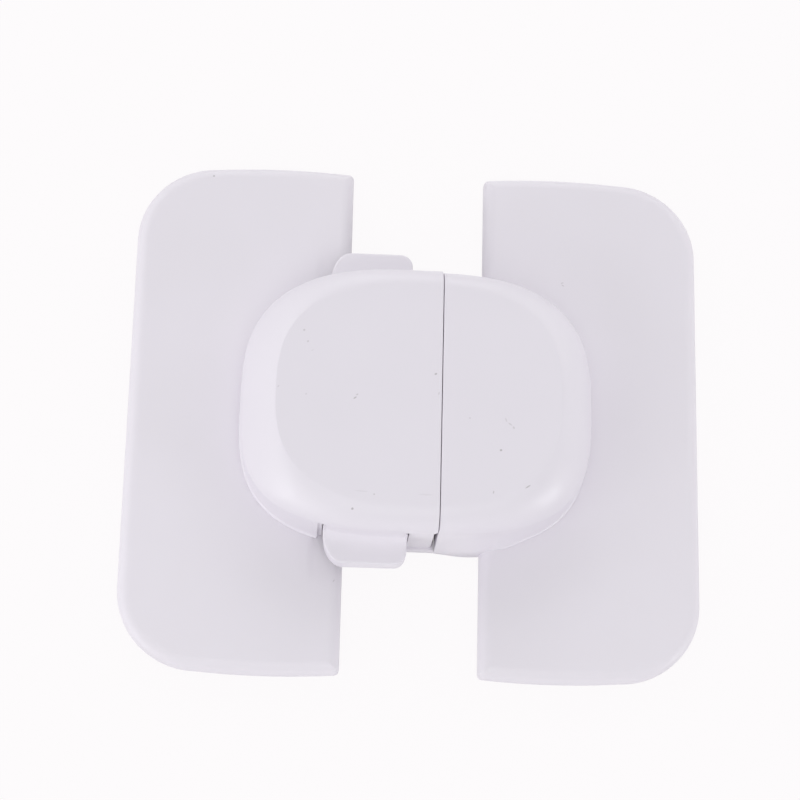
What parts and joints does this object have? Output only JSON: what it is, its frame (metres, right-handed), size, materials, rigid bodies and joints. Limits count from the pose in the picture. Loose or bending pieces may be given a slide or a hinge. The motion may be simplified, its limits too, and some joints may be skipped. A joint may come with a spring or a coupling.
{
  "type": "cabinet safety lock",
  "caption": "Stick-on safety lock in two plates joined by a domed squeeze-release buckle across a door gap; squeezing both side tabs frees the tongue.",
  "frame": {"origin": "middle of the lock on the mounting surface, behind the middle of the gap between the plates", "axes": "+X from the receiver half to the latch half, +Y up along the plates, +Z out from the door"},
  "size_m": [0.085, 0.078, 0.0161],
  "materials": {
    "white_plate": "moulded white ABS, satin gloss",
    "white_dome": "moulded white ABS, satin gloss",
    "white_inner": "moulded white acetal, matt",
    "screw_steel": "zinc-plated steel",
    "foam_pad": "closed-cell foam tape",
    "paper_liner": "waxed paper release liner"
  },
  "bodies": {
    "receiver": {"receiver_base": "white_plate", "receiver_cover": "white_dome", "receiver_cover_screws": "screw_steel", "receiver_upper_pad": "foam_pad", "receiver_lower_pad": "foam_pad", "receiver_upper_liner": "paper_liner", "receiver_lower_liner": "paper_liner"},
    "upper_tab": {"upper_release_tab": "white_dome"},
    "lower_tab": {"lower_release_tab": "white_dome"},
    "latch": {"latch_base": "white_plate", "latch_cover": "white_dome", "tongue": "white_inner", "tongue_screws": "screw_steel", "latch_cover_screws": "screw_steel", "latch_upper_pad": "foam_pad", "latch_lower_pad": "foam_pad", "latch_upper_liner": "paper_liner", "latch_lower_liner": "paper_liner"},
    "upper_arm": {"upper_snap_arm": "white_inner"},
    "lower_arm": {"lower_snap_arm": "white_inner"}
  },
  "joints": [
    {"name": "latch_pull", "type": "slide", "parent": "receiver", "child": "latch", "axis": [1, 0, 0], "range_m": [0, 0.03], "deforming": ["upper_snap_arm", "lower_snap_arm"]},
    {"name": "upper_tab_press", "type": "hinge", "parent": "receiver", "child": "upper_tab", "pos_m": [-0.00705, 0.0189, 0.01219], "axis": [-1, 0, 0], "range_deg": [0, 13.5], "stiffness_Nm_per_rad": 0.1},
    {"name": "lower_tab_press", "type": "hinge", "parent": "receiver", "child": "lower_tab", "pos_m": [-0.00705, -0.0189, 0.01219], "axis": [1, 0, 0], "range_deg": [0, 13.5], "stiffness_Nm_per_rad": 0.1},
    {"name": "upper_arm_flex", "type": "hinge", "parent": "latch", "child": "upper_arm", "pos_m": [0.00647, 0.0116, 0.00675], "axis": [0, 0, 1], "range_deg": [0, 6.5]},
    {"name": "lower_arm_flex", "type": "hinge", "parent": "latch", "child": "lower_arm", "pos_m": [0.00647, -0.0116, 0.00675], "axis": [0, 0, -1], "range_deg": [0, 6.5]}
  ],
  "couplings": [
    {"joint": "upper_arm_flex", "follows": "upper_tab_press", "ratio": 0.48},
    {"joint": "lower_arm_flex", "follows": "lower_tab_press", "ratio": 0.48}
  ]
}
